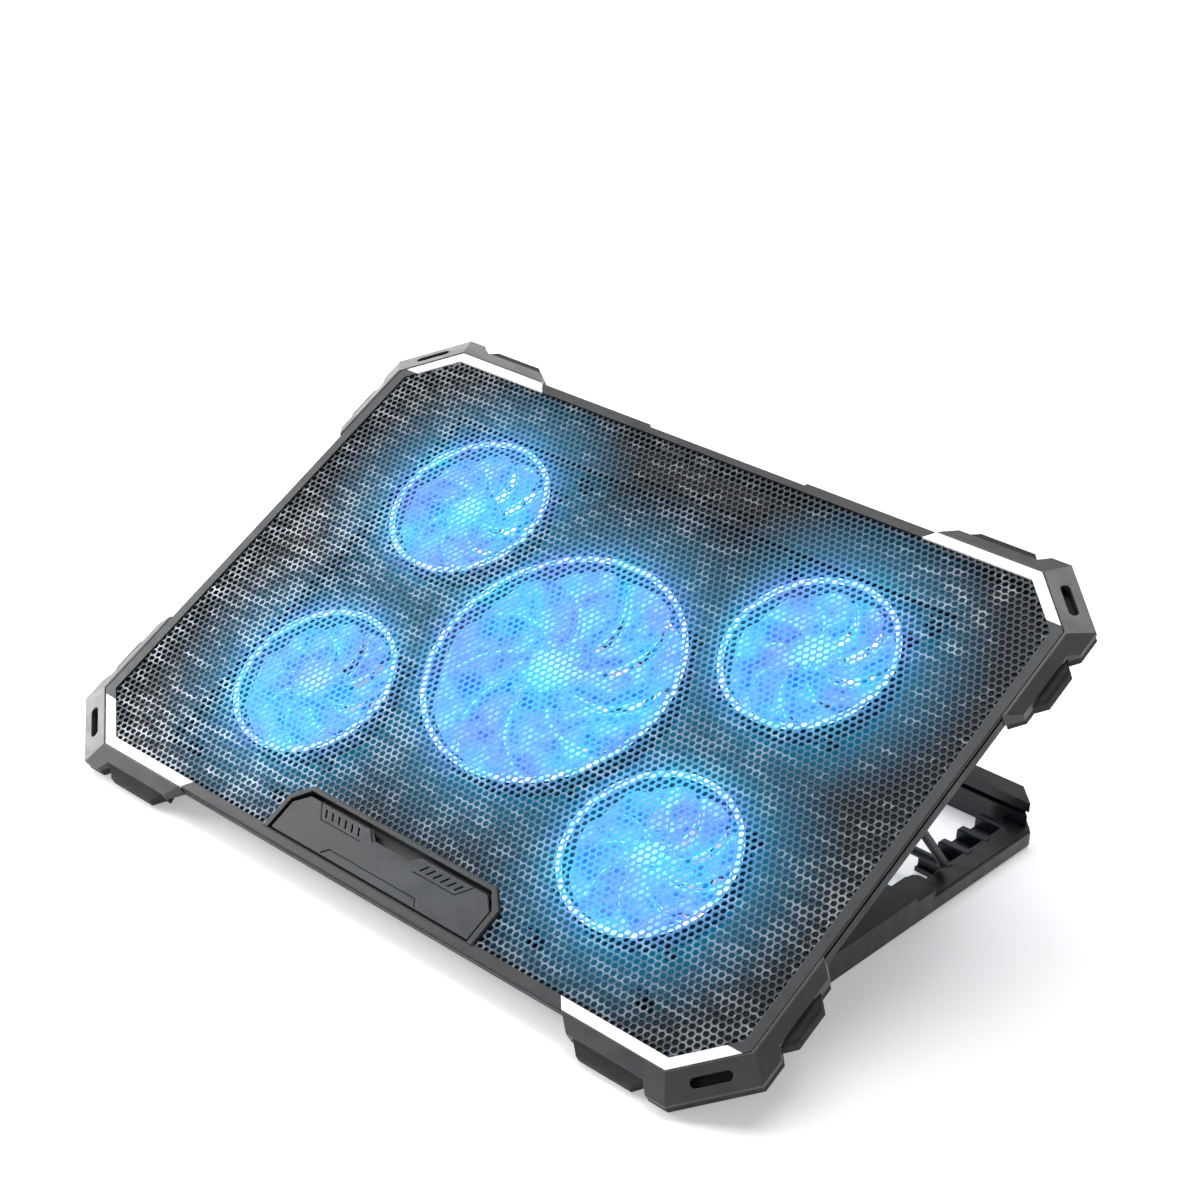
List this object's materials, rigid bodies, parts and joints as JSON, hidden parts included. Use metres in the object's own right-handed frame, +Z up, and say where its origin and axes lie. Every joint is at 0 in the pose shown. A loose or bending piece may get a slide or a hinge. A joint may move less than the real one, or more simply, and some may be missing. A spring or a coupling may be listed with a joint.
{
  "type": "laptop cooling pad",
  "caption": "Laptop cooling pad: perforated metal deck over lit fans, with corner guards and a flip-up laptop stop, hinged on a floor frame and held up by a wire prop.",
  "frame": {"origin": "on the floor under the middle of the object's box, with the deck at its steepest setting", "axes": "+Z up, +X along the object's width to its right, -Y towards the person using it"},
  "size_m": [0.3948, 0.2607, 0.1407],
  "materials": {
    "frame_plastic": "fine matte texture, dark grey",
    "guard_plastic": "satin dark grey with sharp edges",
    "stop_plastic": "satin grey",
    "inlay_plastic": "smooth white",
    "mesh_steel": "perforated sheet with small hexagonal holes",
    "pad_rubber": "matte black",
    "duct_plastic": "matte black",
    "motor_metal": "wound copper and steel",
    "light_ring": "clear light guide, lit blue",
    "fan_blade": "clear blue, lit from the ring",
    "board": "lacquered board",
    "port_shell": "nickel plated",
    "pin_steel": "turned steel",
    "screw_steel": "black oxide",
    "bail_steel": "black coated wire",
    "base_plastic": "fine matte texture, dark grey"
  },
  "bodies": {
    "stand": {"floor_frame": "base_plastic", "rear_bar": "base_plastic", "rear_bar_screws": "screw_steel", "frame_hinge_pins": "pin_steel", "rubber_feet": "pad_rubber"},
    "deck": {"top_frame": "frame_plastic", "mesh_panel": "mesh_steel", "bottom_cover": "duct_plastic", "stop_hinge_pin": "pin_steel", "fan_screws": "screw_steel", "circuit_board": "board", "usb_port_left": "port_shell", "usb_port_right": "port_shell", "button_switch": "duct_plastic", "cover_screws": "screw_steel", "corner_inlay_front_left": "inlay_plastic", "guard_front_left": "guard_plastic", "guard_pad_front_left": "pad_rubber", "corner_inlay_front_right": "inlay_plastic", "guard_front_right": "guard_plastic", "guard_pad_front_right": "pad_rubber", "corner_inlay_rear_left": "inlay_plastic", "guard_rear_left": "guard_plastic", "guard_pad_rear_left": "pad_rubber", "corner_inlay_rear_right": "inlay_plastic", "guard_rear_right": "guard_plastic", "guard_pad_rear_right": "pad_rubber", "fan_duct_center": "duct_plastic", "fan_motor_center": "motor_metal", "light_ring_center": "light_ring", "fan_duct_front_left": "duct_plastic", "fan_motor_front_left": "motor_metal", "light_ring_front_left": "light_ring", "fan_duct_front_right": "duct_plastic", "fan_motor_front_right": "motor_metal", "light_ring_front_right": "light_ring", "fan_duct_rear_left": "duct_plastic", "fan_motor_rear_left": "motor_metal", "light_ring_rear_left": "light_ring", "fan_duct_rear_right": "duct_plastic", "fan_motor_rear_right": "motor_metal", "light_ring_rear_right": "light_ring"},
    "prop": {"prop_bail": "bail_steel"},
    "stop": {"laptop_stop": "stop_plastic"},
    "button": {"power_button": "stop_plastic"},
    "fan_center": {"impeller_center": "fan_blade"},
    "fan_front_left": {"impeller_front_left": "fan_blade"},
    "fan_front_right": {"impeller_front_right": "fan_blade"},
    "fan_rear_left": {"impeller_rear_left": "fan_blade"},
    "fan_rear_right": {"impeller_rear_right": "fan_blade"}
  },
  "joints": [
    {"name": "deck_tilt", "type": "hinge", "parent": "stand", "child": "deck", "pos_m": [0, -0.0882, 0.009], "axis": [1, 0, 0], "range_deg": [-29.3, 0]},
    {"name": "bail_fold", "type": "hinge", "parent": "deck", "child": "prop", "pos_m": [0, 0.01403, 0.07612], "axis": [1, 0, 0], "range_deg": [0, 82.3]},
    {"name": "stop_flip", "type": "hinge", "parent": "deck", "child": "stop", "pos_m": [0, -0.11636, 0.01545], "axis": [1, 0, 0], "range_deg": [0, 85]},
    {"name": "button_press", "type": "slide", "parent": "deck", "child": "button", "axis": [0, -0.8721, -0.4894], "range_m": [0, 0.0008], "stiffness_N_per_m": 400},
    {"name": "fan_spin_center", "type": "hinge", "parent": "deck", "child": "fan_center", "pos_m": [0, -0.00745, 0.06945], "axis": [0, -0.4894, 0.8721], "continuous": true},
    {"name": "fan_spin_front_left", "type": "hinge", "parent": "deck", "child": "fan_front_left", "pos_m": [-0.0973, -0.05507, 0.04273], "axis": [0, -0.4894, 0.8721], "continuous": true},
    {"name": "fan_spin_front_right", "type": "hinge", "parent": "deck", "child": "fan_front_right", "pos_m": [0.0973, -0.05507, 0.04273], "axis": [0, -0.4894, 0.8721], "continuous": true},
    {"name": "fan_spin_rear_left", "type": "hinge", "parent": "deck", "child": "fan_rear_left", "pos_m": [-0.0973, 0.04016, 0.09617], "axis": [0, -0.4894, 0.8721], "continuous": true},
    {"name": "fan_spin_rear_right", "type": "hinge", "parent": "deck", "child": "fan_rear_right", "pos_m": [0.0973, 0.04016, 0.09617], "axis": [0, -0.4894, 0.8721], "continuous": true}
  ],
  "couplings": [
    {"joint": "bail_fold", "follows": "deck_tilt", "ratio": -2.808}
  ]
}
